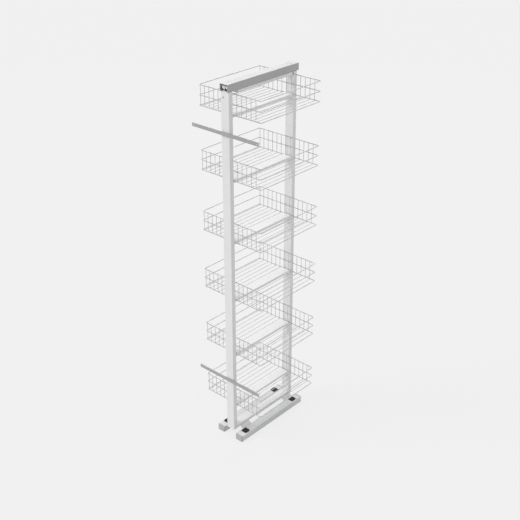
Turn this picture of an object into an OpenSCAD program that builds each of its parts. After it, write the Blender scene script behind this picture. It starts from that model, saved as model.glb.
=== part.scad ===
// Pull out larder unit: a tall frame of box tubes with six wire baskets.
// Millimetres. X runs across the unit, -Y is the front it pulls out to, Z is up.
// The origin lies on the floor, midway across the unit and midway along its rails.

/* [Baskets] */
// Number of baskets
basket_count = 6; // [3:1:6]
// Width of a basket over its ring wires
basket_w = 417.6; // [340:0.1:520]
// Depth of a basket over its ring wires
basket_d = 454; // [370:0.1:560]
// Height of the middle ring above the bottom ring
mid_ring_h = 53.9; // [40:0.1:70]
// Height of the top ring above the bottom ring
top_ring_h = 107.1; // [85:0.1:140]
// Height of the lowest basket's bottom ring above the floor
first_basket_z = 213.5; // [170:0.5:260]
// Distance from one basket to the next
basket_pitch = 344; // [280:0.5:420]
// Diameter of the ring wires
ring_d = 5; // [4:0.1:6]
// Diameter of the bent wires that make the floor and the end walls
wire_d = 3; // [2.4:0.1:3.6]
// Distance between bent wires
wire_spacing = 31.2; // [26:0.1:38]
// Distance of the extra bent wire from the left side ring
corner_wire_inset = 6.3; // [5:0.1:9]
// Radius of the ring corners, on the wire's centre
ring_bend_r = 7; // [6:0.1:8]
// Depth to which crossing wires are welded together
weld_depth = 0.5; // [0.4:0.05:0.7]

/* [Frame] */
// Width of the box tubes, across the unit
tube_w = 54; // [45:0.5:64]
// Depth of the front upright
front_upright_d = 27; // [22:0.5:33]
// Depth of the rear upright
rear_upright_d = 25; // [22:0.5:31]
// Wall of the box tubes
tube_wall = 2; // [1.5:0.1:2.5]
// Height of the frame's underside above the floor
frame_base_z = 49.4; // [44:0.1:60]
// Height of the bottom beam
base_beam_h = 18; // [15:0.5:22]
// Height of each basket beam
shelf_beam_h = 15; // [13:0.5:18]
// Height of the basket beam's top above the centre of the bottom ring
beam_rise = 3; // [2:0.1:4]
// Height of the top beam
top_beam_h = 16; // [13:0.5:20]
// Distance from the front upright to the start of the top beam
top_beam_setback = 39; // [30:1:50]

/* [Floor rails] */
// Clear distance between the two floor rails
floor_rail_gap = 89; // [80:0.5:107]
// Width of a floor rail
floor_rail_w = 50.5; // [48:0.5:60]
// Height of a floor rail
floor_rail_h = 37.5; // [37:0.5:45]
// Wall of a floor rail
floor_rail_wall = 2; // [1.5:0.1:2]
// Length of the end cap on each end of a floor rail
end_cap_l = 8; // [7:0.5:10]
// How far the rails run on behind the rear upright
rail_overrun = 15.5; // [15:0.5:24]
// Radius of the screw holes in the floor rails
floor_hole_r = 3.25; // [2.5:0.05:3.5]

/* [Screw covers] */
// Side of the square covers on the floor rails
cover_size = 35.5; // [30:0.5:43]
// Height of a cover above its rail
cover_h = 5; // [3:0.5:7]
// Distance from the end of a rail to the middle of its cover
cover_inset = 59; // [50:0.5:70]

/* [Guide rail] */
// Width of the guide rail
guide_rail_w = 50.5; // [50:0.1:61]
// Height of the guide rail
guide_rail_h = 38; // [37:0.5:45]
// Wall of the guide rail
guide_rail_wall = 2; // [1.6:0.1:2.5]
// Height of a guide roller
roller_h = 14; // [11:0.5:16]
// Radius of the roller axles
axle_r = 3; // [2.5:0.1:3.6]
// Radius of the screw holes in the guide rail
guide_hole_r = 2.5; // [2:0.1:3]

/* [Door crossbars] */
// Length of a crossbar
crossbar_l = 450; // [380:1:540]
// Height of a crossbar
crossbar_h = 19; // [16:0.5:23]
// Depth of a crossbar in front of the upright
crossbar_d = 7.5; // [6:0.5:9]
// Sheet thickness of a crossbar
crossbar_wall = 2; // [1.6:0.1:2.4]
// Height of the lower crossbar's middle above the floor
lower_crossbar_z = 386.5; // [320:0.5:465]
// Distance from the top of the uprights down to the upper crossbar's middle
upper_crossbar_drop = 213; // [178:0.5:256]
// Radius of the door screw holes
door_hole_r = 2.75; // [2:0.05:3.2]

/* [Runners] */
// Sheet thickness of the two saddles that carry the frame
saddle_t = 2.5; // [2:0.1:3]
// Length of a saddle
saddle_l = 70; // [56:1:84]
// Diameter of the balls between cabinet member and middle member
outer_ball_d = 4; // [3.6:0.1:4]
// Diameter of the balls between middle member and drawer member
inner_ball_d = 3.4; // [3:0.1:3.4]
// Number of balls in each row
balls_per_row = 8; // [6:1:10]

/* [Hidden] */
$fn = 48;
eps = 1;                                // how far a cutting shape runs past a face
seat_gap = 0.3;                         // clearance of a part that rests on another
run_gap = 0.3;                          // clearance of a moving part
pin_gap = 0.05;                         // radial clearance of a pin in its hole
basket_gap = 0.5;                       // clearance of a basket from each upright
inner_bend = 0.2;                       // least radius inside a bend
extrusion_corner_r = 1;                 // outer corners of the guide rail
buffer_corner_r = 1;                    // corners of the rubber buffer

ring_r = ring_d / 2;
wire_r = wire_d / 2;
wire_inset = ring_r + wire_r - weld_depth;      // bent wire inside the ring, centre to centre
wire_bend_r = wire_inset;                       // corner of a bent wire, on its centre
ring_half_w = basket_w / 2 - ring_r;
ring_half_d = basket_d / 2 - ring_r;
wire_half_d = ring_half_d - wire_inset;
stub_h = ring_r + 0.5;                          // where floor wires end and wall wires begin
lift = beam_rise + wire_bend_r + wire_r + 0.5;  // travel that frees a basket from its beam

// Evenly spaced bent wires, plus one near the left corner
pairs = floor((ring_half_w - corner_wire_inset - 2 * wire_d) / wire_spacing - 0.5);
wire_x = concat([for (i = [-pairs - 1 : pairs]) (i + 0.5) * wire_spacing],
                [-ring_half_w + corner_wire_inset]);
beam_clear_x = tube_w / 2 + wire_d;             // floor wires nearer the middle are left out

// Depths: everything follows from the crossbars at the front
rail_l = crossbar_d + front_upright_d + basket_d + 2 * basket_gap + rear_upright_d + rail_overrun;
front_y = -rail_l / 2;
back_y = rail_l / 2;
front_face_y = front_y + crossbar_d;
front_inner_y = front_face_y + front_upright_d;
rear_inner_y = front_inner_y + basket_d + 2 * basket_gap;
rear_face_y = rear_inner_y + rear_upright_d;
basket_y = (front_inner_y + rear_inner_y) / 2;

// Heights: the top of the frame clears the top basket while it is lifted
upright_top_z = first_basket_z + (basket_count - 1) * basket_pitch + top_ring_h + ring_r + lift + 0.4;
guide_rail_z = upright_top_z + 1;
unit_h = guide_rail_z + guide_rail_h;
upper_crossbar_z = upright_top_z - upper_crossbar_drop;

slot_l = basket_gap + ring_d + wire_d - weld_depth + 0.5;
slot_depth = beam_rise + ring_r + seat_gap;

// Guide rollers and the strap that carries them
roller_x = (guide_rail_w / 2 - guide_rail_wall) / 2 + 0.375;
roller_r = guide_rail_w / 2 - guide_rail_wall - run_gap - roller_x;
strap_w = 40;
strap_t = 4;
strap_tab_h = 45;
strap_end_y = back_y - 3;
shoulder_h = 10;
roller_z = upright_top_z + strap_t + shoulder_h;
roller_inset = roller_r + 8;                    // from the ends of the guide rail
front_roller_y = front_y + roller_inset;
rear_roller_y = back_y - roller_inset;
travel = rail_l - 30;                           // the rear rollers stay inside the rail
strap_screw_x = -10;
strap_screw_z = upright_top_z - 30.5;
screw_r = 2.05;
screw_head_r = 4.4;

// Telescopic runner. Heights are from its middle, x is from the rail's inner plane.
rail_x = floor_rail_gap / 2;
rail_mid_x = rail_x + floor_rail_w / 2;
runner_z = floor_rail_h / 2;
sheet = 1.6;
web_t = 2;
race_t = 1.85;
race_h = floor_rail_h / 2 - floor_rail_wall - race_t;    // cabinet member's ball race
mid_h = race_h - outer_ball_d - 2 * run_gap;             // outside of the middle member
mid_race_h = mid_h - sheet;
drawer_h = mid_race_h - inner_ball_d - 2 * run_gap;      // outside of the drawer member
drawer_flange_h = drawer_h - sheet;                      // inside of the drawer member
runner_bend_r = 1.8;
outer_row_h = race_h - run_gap - outer_ball_d / 2;
inner_row_h = mid_race_h - run_gap - inner_ball_d / 2;
member_lip_x = 3;                                        // open edge of the two outer members
outer_cage_lip_x = 5;
inner_cage_lip_x = 4;
outer_row_x = 8.5;
inner_row_x = 7;
drawer_web_x = -0.9;
drawer_tip_x = 10.6;
mid_web_x = 12.6;
cabinet_web_x = 16;
member_front_y = front_y + end_cap_l;
member_l = rail_l - 2 * end_cap_l;
mid_member_l = rail_l - 30;
cage_t = 0.8;
cage_l = member_l - travel / 2 - 19;
cage_y = member_front_y + 4 + travel / 4;

// Front and rear saddle
front_saddle_y = front_face_y + 57.5;
rear_saddle_y = rear_inner_y + 10 - saddle_l;
saddle_y = [front_saddle_y, rear_saddle_y];
saddle_crown_x = tube_w / 2 - 3;
saddle_side_x = rail_x + drawer_web_x;
saddle_shoulder_z = 33;
saddle_bottom_z = runner_z - drawer_h;
rivet_r = 2.4;
saddle_screw_r = 3;
rivet_y = [for (y = saddle_y) for (in_y = [15, saddle_l - 15]) y + in_y];
saddle_screw_x = 12;
saddle_screw_y = [for (y = saddle_y) y + saddle_l / 2];
crossbar_screw_x = 12;
cover_plug_r = 6;
cover_corner_r = 5;
cover_step = 1;                                 // width and height of the step round a cover's top
end_corner_r = end_cap_l - 2;
door_hole_x = crossbar_l / 2 - 13;
guide_hole_x = 12;
guide_hole_y = back_y - 45;

basket_parts = ["floor", "ends", "sides"];

paint = [0.86, 0.86, 0.86];
chrome = [0.78, 0.78, 0.8];
steel = [0.68, 0.68, 0.7];
grey_plastic = [0.72, 0.72, 0.73];

// ---- Helpers ----

// Draws a section, x across and y up, from y0 to y1 along the unit's depth
module along_y(y0, y1) {
    translate([0, y1, 0]) rotate([90, 0, 0]) linear_extrude(height = y1 - y0) children();
}

// Draws a section, x towards the back and y up, from x0 to x1 across the unit
module along_x(x0, x1) {
    translate([x0, 0, 0]) rotate([90, 0, 90]) linear_extrude(height = x1 - x0) children();
}

// The children and their mirror image on the left
module both_sides() {
    children();
    mirror([1, 0, 0]) children();
}

// A rectangle centred on the origin with round corners
module rounded_rect(w, h, r) {
    square([w - 2 * r, h], center = true);
    square([w, h - 2 * r], center = true);
    for (x = [-1, 1]) for (y = [-1, 1]) translate([x * (w / 2 - r), y * (h / 2 - r)]) circle(r = r);
}

// A C section, open at x = 0, with round bends beside its web at x = w
module c_section(w, h, web, flange, bend) {
    intersection() {
        translate([0, -h / 2]) square([w, h]);
        difference() {
            rounded_rect(2 * w, h, bend);
            rounded_rect(2 * (w - web), h - 2 * flange, max(bend - flange, inner_bend));
        }
    }
}

// The section of a box tube
module tube_section(w, h) {
    difference() {
        rounded_rect(w, h, tube_wall + 0.5);
        rounded_rect(w - 2 * tube_wall, h - 2 * tube_wall, 0.5);
    }
}

// A pin along Y, from y0 to y1
module pin_y(x, y0, y1, z, r) {
    translate([x, y1, z]) rotate([90, 0, 0]) cylinder(h = y1 - y0, r = r);
}

// A round wire along X
module wire_x_run(x0, x1, y, z, d) {
    translate([x0, y, z]) rotate([0, 90, 0]) cylinder(h = x1 - x0, d = d);
}

// A round wire along Y
module wire_y_run(x, y0, y1, z, d) {
    translate([x, y1, z]) rotate([90, 0, 0]) cylinder(h = y1 - y0, d = d);
}

// ---- Fixed to the cabinet ----

// Section of the right floor rail: a channel with a slot towards the middle
module floor_rail_section() {
    translate([rail_mid_x, floor_rail_h / 2]) difference() {
        rounded_rect(floor_rail_w, floor_rail_h, 3);
        rounded_rect(floor_rail_w - 2 * floor_rail_wall, floor_rail_h - 2 * floor_rail_wall, 1);
        translate([-floor_rail_w / 2, 0])
            square([4 * floor_rail_wall, 2 * (drawer_h + 2 * run_gap)], center = true);
    }
}

module cover_places() {
    for (y = [front_y + cover_inset, back_y - cover_inset]) translate([rail_mid_x, y, 0]) children();
}

module floor_rail() {
    difference() {
        along_y(member_front_y + 0.5, back_y - end_cap_l) floor_rail_section();
        cover_places() translate([0, 0, -eps]) cylinder(h = floor_rail_wall + 2 * eps, r = floor_hole_r);
        cover_places() translate([0, 0, floor_rail_h / 2]) cylinder(h = floor_rail_h, r = cover_plug_r);
    }
}

module left_floor_rail() { color(steel) mirror([1, 0, 0]) floor_rail(); }
module right_floor_rail() { color(steel) floor_rail(); }

// A C-shaped runner member with its web on the outside, open towards the middle of the unit
module member_section(x_open, x_web, t, h_out, h_in) {
    translate([rail_x + x_open, runner_z])
        c_section(x_web + t - x_open, 2 * h_out, t, h_out - h_in, min(1.5 * t, runner_bend_r));
}

// The drawer member's web is on the inside
module drawer_section() {
    translate([rail_x + drawer_tip_x, runner_z]) mirror([1, 0])
        c_section(drawer_tip_x - drawer_web_x, 2 * drawer_h, web_t, sheet, runner_bend_r);
}

module cabinet_member() {
    along_y(member_front_y + 0.5, back_y - end_cap_l)
        member_section(member_lip_x, cabinet_web_x, web_t, race_h + race_t, race_h);
}

module left_cabinet_member() { color(steel) mirror([1, 0, 0]) cabinet_member(); }
module right_cabinet_member() { color(steel) cabinet_member(); }

module rear_end_caps() {
    color(grey_plastic) both_sides() end_cap(0, 1);
}

// An end cap with round outer corners, seen from above; end is -1 at the front, 1 at the back
module end_cap(lift_off_floor, end) {
    depth = end < 0 ? end_cap_l - 0.5 : end_cap_l;
    y_in = end < 0 ? member_front_y - 0.5 + run_gap : back_y - end_cap_l;
    translate([rail_x, y_in, lift_off_floor])
        mirror([0, end < 0 ? 1 : 0, 0]) linear_extrude(height = floor_rail_h - lift_off_floor)
            intersection() {
                square([floor_rail_w, depth]);
                translate([floor_rail_w / 2, 0]) rounded_rect(floor_rail_w, 2 * depth, end_corner_r);
            }
}

// A pair of square covers, each with a plug that snaps into its rail's screwdriver hole
module screw_covers(y) {
    color([0.1, 0.1, 0.1]) for (x = [-rail_mid_x, rail_mid_x]) translate([x, y, floor_rail_h]) {
        linear_extrude(height = cover_h - cover_step)
            rounded_rect(cover_size, cover_size, cover_corner_r);
        linear_extrude(height = cover_h)
            rounded_rect(cover_size - 2 * cover_step, cover_size - 2 * cover_step,
                         cover_corner_r - cover_step);
        translate([0, 0, -floor_rail_wall])
            cylinder(h = floor_rail_wall + 0.5, r = cover_plug_r - pin_gap);
    }
}

module front_screw_covers() { screw_covers(front_y + cover_inset); }
module rear_screw_covers() { screw_covers(back_y - cover_inset); }

module guide_rail() {
    color([0.6, 0.6, 0.61]) difference() {
        along_y(front_y, back_y) translate([0, guide_rail_z]) rotate(90)
            c_section(guide_rail_h, guide_rail_w, guide_rail_wall, guide_rail_wall, extrusion_corner_r);
        for (x = [-guide_hole_x, guide_hole_x]) for (y = [-guide_hole_y, guide_hole_y])
            translate([x, y, unit_h - guide_rail_wall - eps])
                cylinder(h = guide_rail_wall + 2 * eps, r = guide_hole_r);
    }
}

module rail_buffer() {
    buffer_w = guide_rail_w - 2 * guide_rail_wall;
    buffer_h = unit_h - guide_rail_wall - roller_z;
    color([0.2, 0.2, 0.2]) along_y(rear_roller_y + roller_r + run_gap, back_y)
        translate([0, roller_z + buffer_h / 2]) rounded_rect(buffer_w, buffer_h, buffer_corner_r);
}

// ---- Telescopic runners ----

module middle_members() {
    color(steel) both_sides() along_y(member_front_y + 2, member_front_y + 2 + mid_member_l)
        member_section(member_lip_x, mid_web_x, sheet, mid_h, mid_race_h);
}

// A thin cage with holes for two rows of balls
module ball_cage(x_open, x_web, row_x, row_h, ball_d) {
    difference() {
        along_y(cage_y, cage_y + cage_l)
            member_section(x_open, x_web, cage_t, row_h + cage_t / 2, row_h - cage_t / 2);
        for (side = [-1, 1]) ball_places(row_x) translate([0, 0, side * row_h - 2])
            cylinder(h = 4, r = ball_d / 2 + 0.1);
    }
}

module ball_places(row_x) {
    for (i = [0 : balls_per_row - 1])
        translate([rail_x + row_x, cage_y + cage_l * (i + 0.5) / balls_per_row, runner_z]) children();
}

module outer_ball_cages() {
    color(grey_plastic) both_sides()
        ball_cage(outer_cage_lip_x, cabinet_web_x - 0.5 - cage_t, outer_row_x, outer_row_h, outer_ball_d);
}

module outer_balls() {
    color(chrome) both_sides() for (side = [-1, 1])
        ball_places(outer_row_x) translate([0, 0, side * outer_row_h]) sphere(d = outer_ball_d);
}

module inner_ball_cages() {
    color(grey_plastic) both_sides()
        ball_cage(inner_cage_lip_x, mid_web_x - 0.6 - cage_t, inner_row_x, inner_row_h, inner_ball_d);
}

module inner_balls() {
    color(chrome) both_sides() for (side = [-1, 1])
        ball_places(inner_row_x) translate([0, 0, side * inner_row_h]) sphere(d = inner_ball_d);
}

module drawer_member() {
    difference() {
        along_y(member_front_y - 0.2, member_front_y + 2 + mid_member_l) drawer_section();
        rivet_places() cylinder(h = 12, r = rivet_r + pin_gap, center = true);
    }
}

module left_drawer_member() { color(steel) mirror([1, 0, 0]) drawer_member(); }
module right_drawer_member() { color(steel) drawer_member(); }

module front_end_caps() {
    color(grey_plastic) both_sides() end_cap(0.8, -1);
}

// ---- Carriage under the frame ----

module rivet_places() {
    for (y = rivet_y) translate([saddle_side_x, y, runner_z]) rotate([0, 90, 0]) children();
}

// Section of a saddle: a flat crown, two slopes and two upright sides
module saddle_outline(inset) {
    slope = atan2(frame_base_z - saddle_shoulder_z, saddle_side_x - saddle_crown_x);
    crown_x = saddle_crown_x - inset * tan(slope / 2);
    side_x = saddle_side_x - inset;
    shoulder_z = saddle_shoulder_z - inset * tan((90 - slope) / 2);
    crown_z = frame_base_z - inset;
    foot_z = saddle_bottom_z - inset;
    polygon([[-side_x, foot_z], [side_x, foot_z], [side_x, shoulder_z],
             [crown_x, crown_z], [-crown_x, crown_z], [-side_x, shoulder_z]]);
}

module saddle(y) {
    color([0.85, 0.85, 0.86]) difference() {
        along_y(y, y + saddle_l) difference() {
            saddle_outline(0);
            saddle_outline(saddle_t);
        }
        both_sides() rivet_places() cylinder(h = 12, r = rivet_r + pin_gap, center = true);
        for (x = [-saddle_screw_x, saddle_screw_x])
            translate([x, y + saddle_l / 2, frame_base_z - 2 * saddle_t])
                cylinder(h = 3 * saddle_t, r = saddle_screw_r + pin_gap);
    }
}

module front_saddle() { saddle(front_saddle_y); }
module rear_saddle() { saddle(rear_saddle_y); }

module saddle_rivets() {
    color(steel) both_sides() rivet_places() {
        translate([0, 0, -saddle_t]) cylinder(h = saddle_t + web_t, r = rivet_r);
        translate([0, 0, -saddle_t - 1.6]) cylinder(h = 1.6, r1 = rivet_r, r2 = 4.4);
        translate([0, 0, web_t]) cylinder(h = 1, r1 = drawer_flange_h - 0.1, r2 = rivet_r);
    }
}

module saddle_screws() {
    color(steel) for (x = [-saddle_screw_x, saddle_screw_x]) for (y = saddle_screw_y)
        translate([x, y, frame_base_z - saddle_t]) {
            translate([0, 0, -4]) cylinder(h = 4, r = 5.5, $fn = 6);
            cylinder(h = saddle_t + tube_wall + 6, r = saddle_screw_r);
            translate([0, 0, saddle_t + tube_wall]) cylinder(h = 4.5, r = 5.5, $fn = 6);
        }
}

// ---- Frame ----

module front_upright() {
    color(paint) difference() {
        translate([0, (front_face_y + front_inner_y) / 2, frame_base_z])
            linear_extrude(height = upright_top_z - frame_base_z) tube_section(tube_w, front_upright_d);
        pin_y(strap_screw_x, front_face_y - eps, front_face_y + tube_wall + eps, strap_screw_z,
              screw_r + pin_gap);
        for (x = [-crossbar_screw_x, crossbar_screw_x]) for (z = [lower_crossbar_z, upper_crossbar_z])
            pin_y(x, front_face_y - eps, front_face_y + tube_wall + eps, z, screw_r + pin_gap);
    }
}

module rear_upright() {
    color(paint) difference() {
        translate([0, (rear_inner_y + rear_face_y) / 2, frame_base_z])
            linear_extrude(height = upright_top_z - frame_base_z) tube_section(tube_w, rear_upright_d);
        pin_y(strap_screw_x, rear_face_y - tube_wall - eps, rear_face_y + eps, strap_screw_z,
              screw_r + pin_gap);
    }
}

module base_beam() {
    color(paint) difference() {
        along_y(front_inner_y, rear_inner_y) translate([0, frame_base_z + base_beam_h / 2])
            tube_section(tube_w, base_beam_h);
        for (x = [-saddle_screw_x, saddle_screw_x]) for (y = saddle_screw_y)
            translate([x, y, frame_base_z - eps])
                cylinder(h = tube_wall + 2 * eps, r = saddle_screw_r + pin_gap);
    }
}

function ring_z(i) = first_basket_z + (i - 1) * basket_pitch;

// A basket beam, with a lined slot across each end that the basket's bottom ring hooks into
module shelf_beam(i) {
    top_z = ring_z(i) + beam_rise;
    color(paint) difference() {
        union() {
            along_y(front_inner_y, rear_inner_y) translate([0, top_z - shelf_beam_h / 2])
                tube_section(tube_w, shelf_beam_h);
            for (y = [front_inner_y, rear_inner_y - slot_l - tube_wall])
                translate([-(tube_w - tube_wall) / 2, y, top_z - slot_depth - tube_wall])
                    cube([tube_w - tube_wall, slot_l + tube_wall, slot_depth + tube_wall / 2]);
        }
        for (y = [front_inner_y - eps, rear_inner_y - slot_l])
            translate([-tube_w, y, top_z - slot_depth]) cube([2 * tube_w, slot_l + eps, slot_depth + eps]);
    }
}

// A box tube under the strap, closed at the front
module top_beam() {
    start_y = front_inner_y + top_beam_setback;
    color(paint) translate([0, 0, upright_top_z - top_beam_h / 2]) {
        along_y(start_y, rear_inner_y - slot_l - 1) tube_section(tube_w, top_beam_h);
        along_y(start_y, start_y + tube_wall)
            square([tube_w - tube_wall, top_beam_h - tube_wall], center = true);
    }
}

// A flat strap over both uprights, bent down inside each of them
module top_strap() {
    tab_y = [front_face_y + tube_wall, rear_face_y - tube_wall - strap_t];
    color(steel) difference() {
        union() {
            translate([-strap_w / 2, tab_y[0], upright_top_z])
                cube([strap_w, strap_end_y - tab_y[0], strap_t]);
            for (y = tab_y) translate([-strap_w / 2, y, upright_top_z - strap_tab_h])
                cube([strap_w, strap_t, strap_tab_h + 1]);
        }
        for (y = tab_y)
            pin_y(strap_screw_x, y - eps, y + strap_t + eps, strap_screw_z, screw_r + pin_gap);
        roller_places() translate([0, 0, upright_top_z - eps]) cylinder(h = strap_t + 2 * eps, r = 4);
    }
}

module strap_screws() {
    color(steel) {
        pin_y(strap_screw_x, front_face_y - 0.5, front_face_y + tube_wall + strap_t + 3, strap_screw_z,
              screw_r);
        pin_y(strap_screw_x, front_face_y - 2.2, front_face_y, strap_screw_z, screw_head_r);
        pin_y(strap_screw_x, rear_face_y - tube_wall - strap_t - 3, rear_face_y + 0.5, strap_screw_z,
              screw_r);
        pin_y(strap_screw_x, rear_face_y, rear_face_y + 2.2, strap_screw_z, screw_head_r);
    }
}

// ---- Door crossbars ----

module crossbar(z) {
    color([0.62, 0.62, 0.63]) difference() {
        along_x(-crossbar_l / 2, crossbar_l / 2) translate([front_y + crossbar_d, z]) mirror([1, 0])
            c_section(crossbar_d, crossbar_h, crossbar_wall, crossbar_wall, crossbar_wall + 0.5);
        for (x = [-door_hole_x, door_hole_x])
            pin_y(x, front_y - eps, front_y + crossbar_wall + eps, z, door_hole_r);
        for (x = [-crossbar_screw_x, crossbar_screw_x])
            countersunk(x, z, pin_gap, crossbar_wall);
    }
}

// A countersunk head at the front plane, with a shank that runs on to the given length
module countersunk(x, z, extra, length) {
    translate([x, front_y, z]) rotate([-90, 0, 0]) {
        cylinder(h = crossbar_wall, r1 = screw_head_r + extra, r2 = screw_r + extra);
        translate([0, 0, crossbar_wall / 2]) cylinder(h = length, r = screw_r + extra);
    }
}

module lower_crossbar() { crossbar(lower_crossbar_z); }
module upper_crossbar() { crossbar(upper_crossbar_z); }

module crossbar_screws() {
    color(steel) for (x = [-crossbar_screw_x, crossbar_screw_x])
        for (z = [lower_crossbar_z, upper_crossbar_z])
            countersunk(x, z, 0, crossbar_d + tube_wall + 3);
}

// ---- Guide rollers ----

module roller_places() {
    for (x = [-roller_x, roller_x]) for (y = [front_roller_y, rear_roller_y])
        translate([x, y, 0]) children();
}

// An axle: foot in the strap, shoulder below the roller, round head above it
module roller_axles() {
    color(chrome) roller_places() translate([0, 0, upright_top_z]) {
        cylinder(h = strap_t, r = 4 - pin_gap);
        translate([0, 0, strap_t]) cylinder(h = shoulder_h - run_gap, r = axle_r + 2.5);
        translate([0, 0, strap_t + shoulder_h - eps]) cylinder(h = roller_h + eps + run_gap, r = axle_r);
        translate([0, 0, strap_t + shoulder_h + roller_h + run_gap]) cylinder(h = 2, r = axle_r + 1.5);
    }
}

module guide_roller(x, y) {
    bevel = 1.2;
    color("white") translate([x, y, roller_z]) rotate_extrude()
        polygon([[axle_r + pin_gap, 0], [roller_r - bevel, 0], [roller_r, bevel],
                 [roller_r, roller_h - bevel], [roller_r - bevel, roller_h],
                 [axle_r + pin_gap, roller_h]]);
}

module front_left_roller() { guide_roller(-roller_x, front_roller_y); }
module front_right_roller() { guide_roller(roller_x, front_roller_y); }
module rear_left_roller() { guide_roller(-roller_x, rear_roller_y); }
module rear_right_roller() { guide_roller(roller_x, rear_roller_y); }

// ---- Baskets, drawn round the centre of their bottom ring ----

module at_basket(i) {
    color(chrome) translate([0, basket_y, ring_z(i)]) children();
}

// A quarter of a ring corner; quadrant 0 is right and back, counted to the left
module ring_corner(quadrant) {
    sx = quadrant == 0 || quadrant == 3 ? 1 : -1;
    sy = quadrant < 2 ? 1 : -1;
    translate([sx * (ring_half_w - ring_bend_r), sy * (ring_half_d - ring_bend_r), 0])
        rotate([0, 0, 90 * quadrant]) rotate_extrude(angle = 90)
            translate([ring_bend_r, 0]) circle(d = ring_d);
}

// A bent wire's corner, from the floor up to the end wall; end is -1 at the front, 1 at the back
module wire_corner(x, end) {
    translate([x, end * (wire_half_d - wire_bend_r), 0]) rotate([90, 0, 90])
        rotate([0, 0, end < 0 ? 180 : 270]) rotate_extrude(angle = 90)
            translate([wire_bend_r, 0]) circle(d = wire_d);
}

// The bottom ring and the floor wires
module basket_floor() {
    for (q = [0 : 3]) ring_corner(q);
    for (s = [-1, 1]) {
        wire_x_run(-ring_half_w + ring_bend_r, ring_half_w - ring_bend_r, s * ring_half_d, 0, ring_d);
        wire_y_run(s * ring_half_w, -ring_half_d + ring_bend_r, ring_half_d - ring_bend_r, 0, ring_d);
    }
    for (x = wire_x) {
        if (abs(x) > beam_clear_x) {
            wire_y_run(x, -wire_half_d + wire_bend_r, wire_half_d - wire_bend_r, -wire_bend_r, wire_d);
            for (s = [-1, 1]) wire_corner(x, s);
        }
        for (s = [-1, 1]) translate([x, s * wire_half_d, 0]) cylinder(h = stub_h, d = wire_d);
        if (abs(x) <= beam_clear_x) for (s = [-1, 1])
            translate([x, s * wire_half_d, -ring_r]) cylinder(h = stub_h, d = wire_d);
    }
}

// The front and back walls: middle and top ring with the upright wires
module basket_ends() {
    for (s = [-1, 1]) {
        for (z = [mid_ring_h, top_ring_h]) translate([0, 0, z]) {
            wire_x_run(-ring_half_w + ring_bend_r, ring_half_w - ring_bend_r, s * ring_half_d, 0, ring_d);
            for (q = s > 0 ? [0, 1] : [2, 3]) ring_corner(q);
        }
        for (x = wire_x) translate([x, s * wire_half_d, stub_h])
            cylinder(h = top_ring_h + 1 - stub_h, d = wire_d);
    }
}

// The straight side wires of the middle and top rings
module basket_sides() {
    for (s = [-1, 1]) for (z = [mid_ring_h, top_ring_h])
        wire_y_run(s * ring_half_w, -ring_half_d + ring_bend_r, ring_half_d - ring_bend_r, z, ring_d);
}

// ---- Nodes ----

left_floor_rail();
right_floor_rail();
left_cabinet_member();
right_cabinet_member();
rear_end_caps();
front_screw_covers();
rear_screw_covers();
guide_rail();
rail_buffer();
middle_members();
outer_ball_cages();
outer_balls();
inner_ball_cages();
inner_balls();
left_drawer_member();
right_drawer_member();
front_end_caps();
front_saddle();
rear_saddle();
saddle_rivets();
saddle_screws();
front_upright();
rear_upright();
base_beam();
for (i = [1 : basket_count]) shelf_beam(i);
top_beam();
top_strap();
strap_screws();
lower_crossbar();
upper_crossbar();
crossbar_screws();
roller_axles();
front_left_roller();
front_right_roller();
rear_left_roller();
rear_right_roller();
for (i = [1 : basket_count]) {
    at_basket(i) basket_floor();
    at_basket(i) basket_ends();
    at_basket(i) basket_sides();
}
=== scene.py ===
"""Finishes, small pieces and studio of a pull out larder unit with six wire baskets.

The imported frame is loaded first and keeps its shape: its nodes get their finishes here. Screw
covers, end caps, guide rollers, screws, the rubber buffer and the welds are modelled in more
detail than the frame holds. Lengths are metres, +Z is up and the unit pulls out towards -Y.
"""

import logging
import math
from collections.abc import Callable, Iterable, Sequence
from dataclasses import dataclass
from enum import Enum

import bmesh
import bpy
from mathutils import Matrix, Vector


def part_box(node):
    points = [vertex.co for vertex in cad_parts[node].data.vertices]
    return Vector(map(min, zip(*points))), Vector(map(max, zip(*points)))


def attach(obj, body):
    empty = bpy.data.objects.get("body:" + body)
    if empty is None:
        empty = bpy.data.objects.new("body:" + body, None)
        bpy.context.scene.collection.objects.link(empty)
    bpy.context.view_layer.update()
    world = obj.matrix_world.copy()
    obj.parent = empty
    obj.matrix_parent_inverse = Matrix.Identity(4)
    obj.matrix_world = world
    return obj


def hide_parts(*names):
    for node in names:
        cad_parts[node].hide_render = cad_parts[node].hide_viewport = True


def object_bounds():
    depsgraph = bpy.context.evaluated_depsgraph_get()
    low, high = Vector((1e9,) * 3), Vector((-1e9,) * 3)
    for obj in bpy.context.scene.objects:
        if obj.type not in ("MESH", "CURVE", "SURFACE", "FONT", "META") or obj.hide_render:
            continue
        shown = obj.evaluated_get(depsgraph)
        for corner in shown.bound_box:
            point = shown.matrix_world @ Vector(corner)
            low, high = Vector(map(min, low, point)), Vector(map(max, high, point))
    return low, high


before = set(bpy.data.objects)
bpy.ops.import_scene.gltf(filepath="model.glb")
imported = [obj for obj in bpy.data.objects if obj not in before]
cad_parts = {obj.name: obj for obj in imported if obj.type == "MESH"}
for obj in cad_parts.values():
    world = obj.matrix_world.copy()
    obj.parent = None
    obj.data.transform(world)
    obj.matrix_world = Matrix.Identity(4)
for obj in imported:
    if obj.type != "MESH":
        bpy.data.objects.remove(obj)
CAD_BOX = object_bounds()

MM = 0.001
Y_AXIS, Z_AXIS = Vector((0, 1, 0)), Vector((0, 0, 1))
NOISE_SPAN = (0.32, 0.68)  # nearly all of the plain noise lies between these
WHITEST = 0.98  # the lightest that a finish may be

log = logging.getLogger("larder_unit")

Colour = tuple[float, float, float]


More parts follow.
